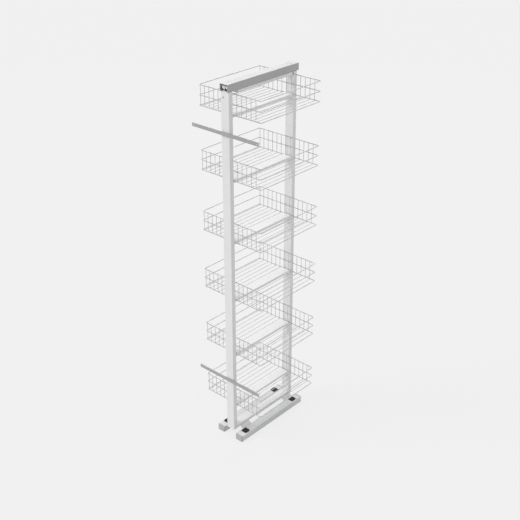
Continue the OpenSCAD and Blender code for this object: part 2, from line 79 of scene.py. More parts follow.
# ---- Shader arithmetic -------------------------------------------------------------------


class Signal:
    """An output socket of a shader node that takes part in arithmetic.

    The operators add Math nodes, so a mask reads as it is thought of: ``1 - mask * 0.5``.
    """

    def __init__(self, graph: "Graph", socket: bpy.types.NodeSocket) -> None:
        """Wraps an output socket of a node in a graph."""
        self.graph = graph
        self.socket = socket

    def sibling(self, name: str) -> "Signal":
        """Another output of the same node, by its name."""
        return Signal(self.graph, self.socket.node.outputs[name])

    def _maths(self, operation: str, *values: "Signal | float") -> "Signal":
        """The result of a Math node, whose sockets take the values in order."""
        return self.graph.add("ShaderNodeMath", {"operation": operation}, dict(enumerate(values)))

    def __add__(self, other: "Signal | float") -> "Signal":
        """The sum with a signal or number."""
        return self._maths("ADD", self, other)

    def __radd__(self, other: float) -> "Signal":
        """The sum of a number and this signal."""
        return self._maths("ADD", other, self)

    def __sub__(self, other: "Signal | float") -> "Signal":
        """The difference to a signal or number."""
        return self._maths("SUBTRACT", self, other)

    def __rsub__(self, other: float) -> "Signal":
        """A number less this signal."""
        return self._maths("SUBTRACT", other, self)

    def __mul__(self, other: "Signal | float") -> "Signal":
        """The product with a signal or number."""
        return self._maths("MULTIPLY", self, other)

    def __rmul__(self, other: float) -> "Signal":
        """The product of a number and this signal."""
        return self._maths("MULTIPLY", other, self)

    def at_most(self, limit: float) -> "Signal":
        """This signal, held at or below a limit."""
        return self._maths("MINIMUM", self, limit)


class Graph:
    """The node graph of a material or of the world, with the few patterns used here."""

    def __init__(self, owner: bpy.types.Material | bpy.types.World) -> None:
        """Empties the owner's node tree and takes it over.

        Args:
            owner: The material or world that the nodes belong to.
        """
        owner.use_nodes = True
        self.tree = owner.node_tree
        self.tree.nodes.clear()

    def add(
        self,
        kind: str,
        settings: dict[str, object] | None = None,
        inputs: dict[str | int, object] | None = None,
        output: str | int = 0,
    ) -> "Signal | None":
        """Adds a node of any kind.

        Args:
            kind: The node's type.
            settings: Its properties, set before its sockets.
            inputs: Values or signals for its sockets, by identifier, name or number.
            output: Which output to hand back, by identifier, name or number.

        Returns:
            The chosen output, if the node has any.
        """
        node = self.tree.nodes.new(kind)
        for name, value in (settings or {}).items():
            setattr(node, name, value)
        for key, value in (inputs or {}).items():
            socket = self._socket(node.inputs, key)
            if isinstance(value, Signal):
                self.tree.links.new(value.socket, socket)
            elif socket.type == "RGBA" and len(value) == 3:
                socket.default_value = (*value, 1.0)
            else:
                socket.default_value = value
        return Signal(self, self._socket(node.outputs, output)) if node.outputs else None

    @staticmethod
    def _socket(sockets: Sequence[bpy.types.NodeSocket], key: str | int) -> bpy.types.NodeSocket:
        """The socket with a number, identifier or name."""
        known = {socket.identifier: socket for socket in sockets}
        return known[key] if key in known else sockets[key]

    def point(self, stretch: Sequence[float] = (1, 1, 1)) -> Signal:
        """The place on the object, in metres, with its axes scaled by stretch."""
        place = self.add("ShaderNodeTexCoord", output="Object")
        return self.add("ShaderNodeMapping", {}, {"Vector": place, "Scale": tuple(stretch)})

    def noise(
        self, scale: float, detail: float = 2, stretch: Sequence[float] = (1, 1, 1)
    ) -> Signal:
        """Smooth random patches from 0 to 1.

        Args:
            scale: How many patches there are to a metre.
            detail: How many finer layers are added.
            stretch: How much denser the pattern is along each axis.

        Returns:
            The pattern, spread so that it reaches both ends of its range.
        """
        given = {"Vector": self.point(stretch), "Scale": scale, "Detail": detail}
        raw = self.add("ShaderNodeTexNoise", {}, given)
        span = {"Value": raw, "From Min": NOISE_SPAN[0], "From Max": NOISE_SPAN[1]}
        return self.add("ShaderNodeMapRange", {}, span)

    def cells(self, scale: float) -> Signal:
        """Crystal-shaped cells that each have a random level.

        Args:
            scale: How many cells there are to a metre.

        Returns:
            The cells' levels, from 0 to 1.
        """
        given = {"Vector": self.point(), "Scale": scale}
        cell = self.add("ShaderNodeTexVoronoi", {}, given, output="Color")
        return self.add("ShaderNodeSeparateColor", {}, {0: cell})

    def between(self, low: "Colour | Signal", high: Colour, mask: Signal) -> Signal:
        """The colour low where the mask is 0, and high where it is 1."""
        given = {"Factor_Float": mask, "A_Color": low, "B_Color": high}
        return self.add("ShaderNodeMix", {"data_type": "RGBA"}, given, output="Result_Color")

    def bump(self, height: Signal, depth: float, strength: float) -> Signal:
        """A normal bent by a pattern from 0 to 1 that is depth metres deep over its range."""
        given = {"Height": height, "Distance": depth, "Strength": strength}
        return self.add("ShaderNodeBump", {}, given)

    def surface(self, **sockets: object) -> None:
        """Ends the graph in a Principled surface.

        Args:
            sockets: Its sockets' values or signals. An underscore stands for a space.
        """
        given = {name.replace("_", " "): value for name, value in sockets.items()}
        shader = self.add("ShaderNodeBsdfPrincipled", {}, given)
        self.add("ShaderNodeOutputMaterial", {}, {"Surface": shader})


def tinted(colour: Colour, factor: float) -> Colour:
    """A colour made lighter or darker by a factor, and kept below white."""
    return tuple(min(WHITEST, channel * factor) for channel in colour)


# ---- Finishes ----------------------------------------------------------------------------


@dataclass(frozen=True)
class Finish:
    """What every finish has.

    Attributes:
        name: The material's name.
        slot: The record's material slot that it stands for. It is not used.
        colour: Its middle colour, in linear light.
        roughness: Its middle roughness.
    """

    name: str
    slot: str
    colour: Colour
    roughness: float

    def material(self) -> bpy.types.Material:
        """Makes the finish's material the first time, and then shares it.

        Returns:
            The material.
        """
        made = bpy.data.materials.get(self.name)
        if made is None:
            made = bpy.data.materials.new(self.name)
            self.lay(Graph(made))
        return made

    def lay(self, graph: Graph) -> None:
        """Lays the finish's nodes in an empty graph."""
        raise NotImplementedError

    def shades(self, graph: Graph, low: float, high: float, mask: Signal) -> Signal:
        """Its colour times low where the mask is 0, and times high where it is 1."""
        return graph.between(tinted(self.colour, low), tinted(self.colour, high), mask)


@dataclass(frozen=True)
class PowderCoat(Finish):
    """Baked powder paint: faint clouds in its colour, and the fine dimples of an orange peel.

    Attributes:
        peel_per_m: How many dimples there are to a metre.
        peel_depth: How deep they are.
    """

    peel_per_m: float = 420
    peel_depth: float = 0.05 * MM

    def lay(self, graph: Graph) -> None:
        """Lays paint over the whole node.

        Args:
            graph: The material's empty graph.
        """
        cloud = graph.noise(11, detail=3)
        peel = graph.noise(self.peel_per_m)
        graph.surface(
            Base_Color=self.shades(graph, 0.975, 1.02, cloud),
            Roughness=self.roughness + cloud * 0.05 + peel * 0.04,
            Normal=graph.bump(peel, self.peel_depth, 0.5),
        )


@dataclass(frozen=True)
class Plating(Finish):
    """Bright plate or polish on wires, screws and balls, with hazy patches and fine draw marks.

    Attributes:
        haze: How much rougher and darker the plate is in patches.
    """

    haze: float = 0.1

    def lay(self, graph: Graph) -> None:
        """Lays plate over the whole node.

        Args:
            graph: The material's empty graph.
        """
        patches = graph.noise(38, detail=3)
        draw_marks = graph.noise(1500)
        graph.surface(
            Base_Color=self.shades(graph, 1 + self.haze, 1 - self.haze, patches),
            Metallic=1.0,
            Roughness=self.roughness + patches * self.haze,
            Normal=graph.bump(draw_marks, 0.01 * MM, 0.4),
        )


@dataclass(frozen=True)
class ZincPlate(Finish):
    """Zinc on rolled sheet: cool and warm clouds, over rolling lines that run along the unit."""

    def lay(self, graph: Graph) -> None:
        """Lays zinc over the whole node.

        Args:
            graph: The material's empty graph.
        """
        cloud = graph.noise(26, detail=4)
        lines = graph.noise(900, detail=3, stretch=(1, 0.012, 1))
        red, green, blue = self.colour
        warm, cool = (red, green, blue * 0.95), (red * 0.93, green * 0.96, blue)
        graph.surface(
            Base_Color=graph.between(warm, cool, cloud),
            Metallic=1.0,
            Roughness=self.roughness + cloud * 0.12 + lines * 0.08,
            Normal=graph.bump(lines, 0.012 * MM, 0.5),
        )


@dataclass(frozen=True)
class Galvanised(Finish):
    """Hot dipped sheet, with a spangle of crystals that each take the light a little differently.

    Attributes:
        spangles_per_m: How many crystals there are to a metre.
        metallic: How much of the surface acts as bare metal.
    """

    spangles_per_m: float = 160
    metallic: float = 0.85

    def lay(self, graph: Graph) -> None:
        """Lays spangled zinc over the whole node.

        Args:
            graph: The material's empty graph.
        """
        spangle = graph.cells(self.spangles_per_m)
        shade = spangle * 0.7 + graph.noise(30, detail=3) * 0.3
        graph.surface(
            Base_Color=self.shades(graph, 0.92, 1.08, shade),
            Metallic=self.metallic,
            Roughness=self.roughness + spangle * 0.1,
            Normal=graph.bump(spangle, 0.01 * MM, 0.4),
        )


@dataclass(frozen=True)
class Extrusion(Finish):
    """Satin extruded aluminium, with the die's lines along its length.

    Attributes:
        metallic: How much of the surface acts as bare metal.
    """

    metallic: float = 0.5

    def lay(self, graph: Graph) -> None:
        """Lays drawn aluminium over the whole node, its lines along Y.

        Args:
            graph: The material's empty graph.
        """
        lines = graph.noise(1100, detail=4, stretch=(1, 0.004, 1))
        graph.surface(
            Base_Color=self.shades(graph, 0.94, 1.05, lines),
            Metallic=self.metallic,
            Roughness=self.roughness + lines * 0.1 + graph.noise(9) * 0.04,
            Normal=graph.bump(lines, 0.01 * MM, 0.4),
        )


@dataclass(frozen=True)
class Moulding(Finish):
    """Moulded plastic or rubber with a spark-eroded grain.

    Attributes:
        grain_per_m: How many grains there are to a metre.
        grain_depth: How deep the grain is.
        gloss: How strongly it mirrors, where 0.5 is plain plastic.
    """

    grain_per_m: float = 1300
    grain_depth: float = 0.03 * MM
    gloss: float = 0.5

    def lay(self, graph: Graph) -> None:
        """Lays grained plastic over the whole node.

        Args:
            graph: The material's empty graph.
        """
        grain = graph.noise(self.grain_per_m, detail=1)
        flow = graph.noise(45, stretch=(1, 1, 2))
        graph.surface(
            Base_Color=self.shades(graph, 0.93, 1.06, flow),
            Roughness=self.roughness + grain * 0.08 + flow * 0.05,
            Specular_IOR_Level=self.gloss,
            Normal=graph.bump(grain, self.grain_depth, 0.6),
        )


FRAME_PAINT = PowderCoat("pale powder coat", "frame_paint", (0.79, 0.79, 0.79), 0.4)
RAIL_PAINT = PowderCoat("grey powder coat", "rail_grey", (0.68, 0.685, 0.69), 0.42)
CHROME_WIRE = Plating("bright plated wire", "wire_chrome", (0.59, 0.59, 0.6), 0.26)
WIRE_WELD = Plating("plated weld", "wire_chrome", (0.55, 0.55, 0.56), 0.34, haze=0.14)
BALL_STEEL = Plating("bearing steel", "ball_steel", (0.62, 0.62, 0.64), 0.05, haze=0.04)
FASTENER_ZINC = Plating("zinc plated fastener", "fastener_steel", (0.56, 0.57, 0.6), 0.26)
RUNNER_ZINC = ZincPlate("zinc plated sheet", "zinc_steel", (0.62, 0.63, 0.65), 0.24)
CROSSBAR_ZINC = Galvanised("galvanised sheet", "crossbar_steel", (0.45, 0.45, 0.455), 0.36)
ALUMINIUM = Extrusion("satin aluminium", "guide_aluminium", (0.435, 0.435, 0.445), 0.3)
CAP_PLASTIC = Moulding("grey moulded plastic", "cap_plastic", (0.455, 0.46, 0.465), 0.5)
COVER_PLASTIC = Moulding(
    "black moulded plastic", "cover_plastic", (0.012, 0.012, 0.013), 0.5, gloss=0.3
)
CAGE_PLASTIC = Moulding("natural cage plastic", "cage_plastic", (0.6, 0.6, 0.57), 0.4)
ROLLER_NYLON = Moulding("white nylon", "roller_nylon", (0.84, 0.84, 0.82), 0.36, 900)
BUFFER_RUBBER = Moulding("soft black rubber", "buffer_rubber", (0.035, 0.035, 0.036), 0.78, 800)


# ---- Modelling ---------------------------------------------------------------------------


class Element(Enum):
    """What a selection picks."""

    EDGE = "EDGE"
    FACE = "FACE"


Test = Callable[[Vector, Vector], bool]

SAME_WAY = 0.9995  # least cosine between two directions that count as one
STEEP = 0.99  # least upward part of an edge that stands upright
LEVEL = 0.01  # most upward part of an edge that lies level
NEAR = 0.01 * MM  # places closer than this count as one
SAME_HEIGHT = 0.001 * MM  # heights closer than this count as one
ROUND, HEXAGON = 32, 6  # sides of a small round piece, and of a hexagonal one


def clear_bench() -> None:
    """Leaves edit mode and deselects everything, the frame's own nodes included."""
    active = bpy.context.object
    if active is not None and active.mode != "OBJECT":
        bpy.ops.object.mode_set(mode="OBJECT")
    bpy.ops.object.select_all(action="DESELECT")


def faces(axis: Vector) -> Test:
    """A test for faces that look the way of an axis."""
    return lambda _, normal: normal.dot(axis) > SAME_WAY


def central(axis: Vector) -> Test:
    """A test for the face that looks the way of an axis and lies round the Z axis."""
    return lambda centre, normal: normal.dot(axis) > SAME_WAY and centre.xy.length < NEAR


def upright(_: Vector, way: Vector) -> bool:
    """A test for edges that stand upright."""
    return abs(way.z) > STEEP


def level_at(*heights: float) -> Test:
    """A test for level edges at any of the given heights."""
    return lambda centre, way: (
        abs(way.z) < LEVEL and any(abs(centre.z - z) < SAME_HEIGHT for z in heights)
    )


class Piece:
    """A new mesh on the bench, shaped step by step with Blender's modelling tools."""

    BEAD_SIDES, BEAD_RINGS = 8, 6

    def __init__(self, name: str) -> None:
        """Takes the object that was just added, and moves its place into its mesh.

        Args:
            name: The piece's name.
        """
        bpy.ops.object.transform_apply(location=True, rotation=True, scale=True)
        self.item = bpy.context.object
        self.item.name = name
        self.item.data.name = name

    @classmethod
    def block(cls, name: str, low: Sequence[float], high: Sequence[float]) -> "Piece":
        """Starts from a cuboid.

        Args:
            name: The piece's name.
            low: Its lowest corner.
            high: Its highest corner.

        Returns:
            The new piece.
        """
        clear_bench()
        low, high = Vector(low), Vector(high)
        bpy.ops.mesh.primitive_cube_add(size=1, location=(low + high) / 2)
        bpy.context.object.scale = high - low
        return cls(name)

    @classmethod
    def disc(
        cls, name: str, radius: float, low: float, high: float, sides: int = ROUND
    ) -> "Piece":
        """Starts from a cylinder round the Z axis.

        Args:
            name: The piece's name.
            radius: Its radius.
            low: Height of its underside.
            high: Height of its top.
            sides: How many sides it has.

        Returns:
            The new piece.
        """
        clear_bench()
        bpy.ops.mesh.primitive_cylinder_add(
            vertices=sides, radius=radius, depth=high - low, location=(0, 0, (low + high) / 2)
        )
        return cls(name)

    @classmethod
    def beads(cls, name: str, radii: Vector, places: Iterable[Sequence[float]]) -> "Piece":
        """Starts from small rounded beads, all of one size, in one mesh.

        Args:
            name: The piece's name.
            radii: Half a bead's size along X, Y and Z.
            places: The middle of each bead.

        Returns:
            The new piece.
        """
        clear_bench()
        first, *others = places
        bead = {"segments": cls.BEAD_SIDES, "ring_count": cls.BEAD_RINGS}
        bead |= {"radius": 1, "scale": radii}
        bpy.ops.mesh.primitive_uv_sphere_add(**bead, location=first)
        piece = cls(name)
        bpy.ops.object.mode_set(mode="EDIT")
        for place in others:
            bpy.ops.mesh.primitive_uv_sphere_add(**bead, location=place)
        clear_bench()
        return piece

    def take(self) -> None:
        """Makes this piece the only one selected, and the active one."""
        clear_bench()
        self.item.select_set(True)
        bpy.context.view_layer.objects.active = self.item

    def pick(self, element: Element, test: Test) -> "Piece":
        """Goes to edit mode and selects what passes a test.

        Args:
            element: What to select.
            test: Takes a face's middle and normal, or an edge's middle and direction.

        Returns:
            This piece.
        """
        self.take()
        bpy.ops.object.mode_set(mode="EDIT")
        bpy.ops.mesh.select_mode(type=element.value)
        bpy.ops.mesh.select_all(action="DESELECT")
        mesh = bmesh.from_edit_mesh(self.item.data)
        if element is Element.FACE:
            for face in mesh.faces:
                face.select_set(test(face.calc_center_median(), face.normal))
        else:
            for edge in mesh.edges:
                start, end = (corner.co for corner in edge.verts)
                edge.select_set(test((start + end) / 2, (end - start).normalized()))
        bmesh.update_edit_mesh(self.item.data)
        return self

    def bevel(self, width: float, segments: int) -> "Piece":
        """Rounds the picked edges."""
        bpy.ops.mesh.bevel(offset=width, segments=segments, affect="EDGES")
        return self

    def inset(self, width: float, sink: float = 0.0) -> "Piece":
        """Draws the picked face in by a width, and sinks it."""
        bpy.ops.mesh.inset(thickness=width, depth=-sink)
        return self

    def extrude(self, move: Vector) -> "Piece":
        """Extrudes the picked faces along a vector."""
        bpy.ops.mesh.extrude_region_move(TRANSFORM_OT_translate={"value": move})
        return self

    def narrow(self, factor: float) -> "Piece":
        """Scales what is picked across the Z axis."""
        bpy.ops.transform.resize(value=(factor, factor, 1), center_override=(0, 0, 0))
        return self

    def bridge(self) -> "Piece":
        """Deletes the two picked faces and joins their rims with a wall."""
        bpy.ops.mesh.bridge_edge_loops()
        return self

    def cut(self, cutter: "Piece") -> "Piece":
        """Cuts another piece's shape out of this one, and throws that piece away.

        Args:
            cutter: The other piece.

        Returns:
            This piece.
        """
        self.take()
        bpy.ops.object.modifier_add(type="BOOLEAN")
        step = self.item.modifiers[-1]
        step.operation = "DIFFERENCE"
        step.solver = "EXACT"
        step.object = cutter.item
        bpy.ops.object.modifier_apply(modifier=step.name)
        bpy.data.objects.remove(cutter.item)
        return self

    def join(self, other: "Piece") -> "Piece":
        """Takes another piece into this one's mesh.

        Args:
            other: The other piece.

        Returns:
            This piece.
        """
        self.take()
        other.item.select_set(True)
        bpy.ops.object.join()
        return self

    def face(self, way: Vector) -> "Piece":
        """Turns a piece that was made upright.

        Args:
            way: Where its top looks then.

        Returns:
            This piece.
        """
        self.take()
        self.item.rotation_euler = Z_AXIS.rotation_difference(way).to_euler()
        bpy.ops.object.transform_apply(location=True, rotation=True, scale=True)
        return self

    def smooth(self, angle: float = 35) -> "Piece":
        """Shades the piece smooth, apart from its sharp edges.

        Args:
            angle: The least angle of a sharp edge, in degrees.

        Returns:
            This piece.
        """
        self.take()
        bpy.ops.object.shade_smooth_by_angle(angle=math.radians(angle))
        return self

    def spread(self, places: dict[str, Sequence[float]]) -> list["Piece"]:
        """Puts a copy with its own mesh at each place, and throws the pattern away.

        Args:
            places: Each copy's name, and where the pattern's origin goes.

        Returns:
            The copies.
        """
        copies = []
        for name, place in places.items():
            self.take()
            bpy.ops.object.duplicate_move(TRANSFORM_OT_translate={"value": place})
            copies.append(Piece(name))
        bpy.data.objects.remove(self.item)
        return copies


class Assembly:
    """A sub-assembly: frame nodes that get a finish, and new pieces that ride with them."""

    def build(self) -> None:
        """Dresses the sub-assembly's nodes and makes its new pieces."""
        raise NotImplementedError

    def dress(self, finish: Finish, *nodes: str) -> None:
        """Gives frame nodes a finish. Their meshes stay as they are.

        Args:
            finish: The finish.
            nodes: The nodes' names.
        """
        for name in nodes:
            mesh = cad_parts[name].data
            mesh.materials.clear()
            mesh.materials.append(finish.material())
            log.info("%s: %s", name, finish.name)

    def let_sky_past(self, *nodes: str) -> None:
        """Lets the soft light of the sky past thin frame nodes, whose lamp shadows stay."""
        for name in nodes:
            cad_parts[name].visible_diffuse = False

    def settle(self, pieces: Iterable[Piece], finish: Finish, body: str, *replaced: str) -> None:
        """Gives new pieces their finish and their body, and hides the frame nodes that they stand
        for.

        Args:
            pieces: The pieces.
            finish: Their finish.
            body: The body that they ride on.
            replaced: The frame nodes that they stand for.
        """
        clear_bench()
        for item in (piece.item for piece in pieces):
            item.data.materials.clear()
            item.data.materials.append(finish.material())
            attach(item, body)
            if replaced:
                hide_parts(*replaced)
            count = len(item.data.polygons)
            log.info("%s: %s, %d faces, on %s", item.name, finish.name, count, body)


# ---- Fasteners ---------------------------------------------------------------------------


class HeadStyle(Enum):
    """The heads of the unit's screws."""

    COUNTERSUNK = "countersunk, with a cross"
    PAN = "pan head, with a cross"
    HEX = "hexagon"


@dataclass
class Screw:
    """A screw, made upright with the top of its head at the origin and its shank below.

    Attributes:
        style: The shape of its head.
        head_r: The head's radius, over its corners if it has any.
        head_h: The head's height.
        shank_r: The shank's radius.
        shank_l: The shank's length below the head.
        cross_w: Width of the cross's arms.
        cross_r: Reach of the cross's arms.
        cross_depth: Depth of the cross.
        cross_foot: Size of the cross at its bottom, as a share of that at its top.
        rim: Rounding of a countersunk head's rim.
        dome: Rounding of a pan head, as a share of its height.
        facet: Bevel of a hexagon head, as a share of its radius.
        flat: Distance from a hexagon's middle to its flats, as a share of its radius.
        tip_l: Length of the shank's pointed end, as a share of the shank's radius.
        tip_r: Radius of that end, as a share of the shank's radius.
    """

    style: HeadStyle
    head_r: float
    head_h: float
    shank_r: float
    shank_l: float
    cross_w: float = 0.9 * MM
    cross_r: float = 2.3 * MM
    cross_depth: float = 1.3 * MM
    cross_foot: float = 0.55
    rim: float = 0.15 * MM
    dome: float = 0.55
    facet: float = 0.1
    flat: float = 0.866
    tip_l: float = 0.8
    tip_r: float = 0.7

    def make(self, name: str) -> Piece:
        """Makes the screw.

        Args:
            name: The screw's name.

        Returns:
            The screw, with its head's top at the origin.
        """
        sides = HEXAGON if self.style is HeadStyle.HEX else ROUND
        screw = Piece.disc(name, self.head_r, -self.head_h, 0, sides)
        if self.style is HeadStyle.COUNTERSUNK:
            screw.pick(Element.FACE, central(-Z_AXIS)).narrow(self.shank_r / self.head_r)
        width, segments = {
            HeadStyle.COUNTERSUNK: (self.rim, 2),
            HeadStyle.PAN: (self.dome * self.head_h, 5),
            HeadStyle.HEX: (self.facet * self.head_r, 2),
        }[self.style]
        screw.pick(Element.EDGE, level_at(0)).bevel(width, segments)
        self._add_shank(screw)
        if self.style is not HeadStyle.HEX:
            self._cut_cross(screw)
        return screw.smooth(angle=32)

    def _add_shank(self, screw: Piece) -> None:
        """Draws the shank out of the head's underside, and points its end.

        Args:
            screw: The screw, which is only a head so far.
        """
        screw.pick(Element.FACE, central(-Z_AXIS))
        if self.style is HeadStyle.HEX:
            screw.inset(self.flat * self.head_r - self.shank_r)
        elif self.style is HeadStyle.PAN:
            screw.inset(self.head_r - self.shank_r)
        tip = self.tip_l * self.shank_r
        screw.extrude(-Z_AXIS * (self.shank_l - tip))
        screw.extrude(-Z_AXIS * tip).narrow(self.tip_r)

    def _cut_cross(self, screw: Piece) -> None:
        """Cuts the driver's cross, whose arms narrow towards the bottom.

        Args:
            screw: The screw, with its head and shank.
        """
        for x, y in ((self.cross_r, self.cross_w / 2), (self.cross_w / 2, self.cross_r)):
            arm = Piece.block("cross_arm", (-x, -y, -self.cross_depth), (x, y, self.head_h))
            arm.pick(Element.FACE, faces(-Z_AXIS)).narrow(self.cross_foot)
            screw.cut(arm)


# ---- Fixed to the cabinet ----------------------------------------------------------------


@dataclass
class FloorRails(Assembly):
    """The two floor rails with their screw covers and end caps.

    Attributes:
        cover_corner: Radius of a cover's corners.
        cover_edge: Rounding round a cover's top.
        cover_rim: Width of the flat rim round the sunk middle of a cover.
        cover_slope: Width of the slope round that sunk middle.
        cover_sink: Depth of that sunk middle.
        plug_r: Radius of the plug under a cover.
        plug_edge: Rounding of the plug's end.
        plug_lap: How far the plug reaches up into its cover.
        cap_corner: Radius of an end cap's outer corners, seen from above.
        cap_edge: Rounding of an end cap's top and bottom edges.
        cap_rim: Width of the rim round the sunk panel on an end cap.
        cap_slope: Width of the slope round that panel.
        cap_sink: Depth of that panel.
    """

    cover_corner: float = 5 * MM
    cover_edge: float = 1.1 * MM
    cover_rim: float = 3 * MM
    cover_slope: float = 0.6 * MM
    cover_sink: float = 0.4 * MM
    plug_r: float = 5.95 * MM
    plug_edge: float = 0.4 * MM
    plug_lap: float = 0.1 * MM
    cap_corner: float = 6 * MM
    cap_edge: float = 1 * MM
    cap_rim: float = 4 * MM
    cap_slope: float = 0.5 * MM
    cap_sink: float = 0.4 * MM

    def build(self) -> None:
        """Dresses the rails, and makes the covers and caps."""
        self.dress(RAIL_PAINT, "left_floor_rail", "right_floor_rail")
        for end in ("front", "rear"):
            node = f"{end}_screw_covers"
            places = self.places(end, "screw_cover", node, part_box("right_floor_rail")[1].z)
            self.settle(self.cover(node).spread(places), COVER_PLASTIC, "cabinet", node)
            node = f"{end}_end_caps"
            places = self.places(end, "end_cap", node, 0)
            body = "frame" if end == "front" else "cabinet"
            self.settle(self.cap(node, end).spread(places), CAP_PLASTIC, body, node)

    def places(self, end: str, word: str, node: str, height: float) -> dict[str, Vector]:
        """Where the left and the right of a pair go: the middle of each rail.

        Args:
            end: The end that the pair is at.
            word: What one of them is called.
            node: The frame node that holds the pair.
            height: The height of their origin.

        Returns:
            Each one's name and place.
        """
        low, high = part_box("right_floor_rail")
        x, y = (low.x + high.x) / 2, sum(corner.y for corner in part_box(node)) / 2
        return {
            f"{end}_{side}_{word}": Vector((way * x, y, height))
            for side, way in (("left", -1), ("right", 1))
        }

    def cover(self, node: str) -> Piece:
        """Makes a square cover with rounded edges, a shallow sunk top and its plug.

        Args:
            node: The frame node that holds it and its twin.

        Returns:
            The cover, with its underside on the ground at the origin.
        """
        low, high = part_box(node)
        half, rail_top = (high.y - low.y) / 2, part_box("right_floor_rail")[1].z
        foot, top = low.z - rail_top, high.z - rail_top
        cover = Piece.block("cover", (-half, -half, 0), (half, half, top))
        cover.pick(Element.EDGE, upright).bevel(self.cover_corner, segments=6)
        cover.pick(Element.EDGE, level_at(top)).bevel(self.cover_edge, segments=4)
        cover.pick(Element.FACE, faces(Z_AXIS)).inset(self.cover_rim)
        cover.inset(self.cover_slope, self.cover_sink)
        plug = Piece.disc("plug", self.plug_r, foot, self.plug_lap)
        plug.pick(Element.EDGE, level_at(foot)).bevel(self.plug_edge, segments=2)
        return cover.join(plug).smooth()

    def cap(self, node: str, end: str) -> Piece:
        """Makes an end cap with round corners and a shallow panel on its face.

        Args:
            node: The frame node that holds it and its twin.
            end: The end that it closes.

        Returns:
            The cap, with the middle of its foot above the origin.
        """
        low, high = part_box(node)
        inner, outer = (corner.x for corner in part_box("right_floor_rail"))
        half, deep = (outer - inner) / 2, (high.y - low.y) / 2
        way = -1 if end == "front" else 1
        cap = Piece.block("cap", (-half, -deep, low.z), (half, deep, high.z))
        cap.pick(Element.EDGE, lambda centre, line: upright(centre, line) and centre.y * way > 0)
        cap.bevel(self.cap_corner, segments=8)
        brims, joint = level_at(low.z, high.z), NEAR - deep
        cap.pick(Element.EDGE, lambda centre, line: brims(centre, line) and centre.y * way > joint)
        cap.bevel(self.cap_edge, segments=3)
        cap.pick(Element.FACE, faces(Y_AXIS * way)).inset(self.cap_rim)
        cap.inset(self.cap_slope, self.cap_sink)
        return cap.smooth()


@dataclass
class GuideRail(Assembly):
    """The guide rail under the cabinet's top, with the rubber buffer in its rear end.

    Attributes:
        edge: Rounding of the buffer's edges.
        rib_w: Width of the ribs on the buffer's front.
        rib_count: How many ribs it has.
        rib_h: How far the ribs stand out.
        rib_edge: Rounding of their front edges.
    """

    edge: float = 1 * MM
    rib_w: float = 5 * MM
    rib_count: int = 5
    rib_h: float = 1.2 * MM
    rib_edge: float = 0.8 * MM

    def build(self) -> None:
        """Dresses the rail and makes the buffer."""
        self.dress(ALUMINIUM, "guide_rail")
        self.settle([self.buffer()], BUFFER_RUBBER, "cabinet", "rail_buffer")

    def buffer(self) -> Piece:
        """Makes the buffer: a rounded block with upright ribs where the rollers meet it.

        Returns:
            The buffer, in its place.
        """
        low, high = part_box("rail_buffer")
        buffer = Piece.block("rubber_buffer", low + Y_AXIS * self.rib_h, high)
        buffer.pick(Element.EDGE, lambda centre, way: True).bevel(self.edge, segments=3)
        rib = Piece.block(
            "rib",
            (-self.rib_w / 2, 0, low.z + 2 * self.edge),
            (self.rib_w / 2, 2 * self.rib_h, high.z - 2 * self.edge),
        )
        rib.pick(Element.EDGE, lambda centre, way: centre.y < NEAR)
        rib.bevel(self.rib_edge, segments=3)
        pitch = (high.x - low.x) / self.rib_count
        places = {
            f"rib_{number}": (low.x + (number + 0.5) * pitch, low.y, 0)
            for number in range(self.rib_count)
        }
        for copy in rib.spread(places):
            buffer.join(copy)
        return buffer.smooth()


class Runners(Assembly):
    """The telescopic runners: sheet members, plastic cages and polished balls."""

    def build(self) -> None:
        """Dresses every part of both runners."""
        self.dress(RUNNER_ZINC, "left_cabinet_member", "right_cabinet_member", "middle_members")
        self.dress(RUNNER_ZINC, "left_drawer_member", "right_drawer_member")
        self.dress(CAGE_PLASTIC, "outer_ball_cages", "inner_ball_cages")
        self.dress(BALL_STEEL, "outer_balls", "inner_balls")


# ---- The frame that pulls out ------------------------------------------------------------


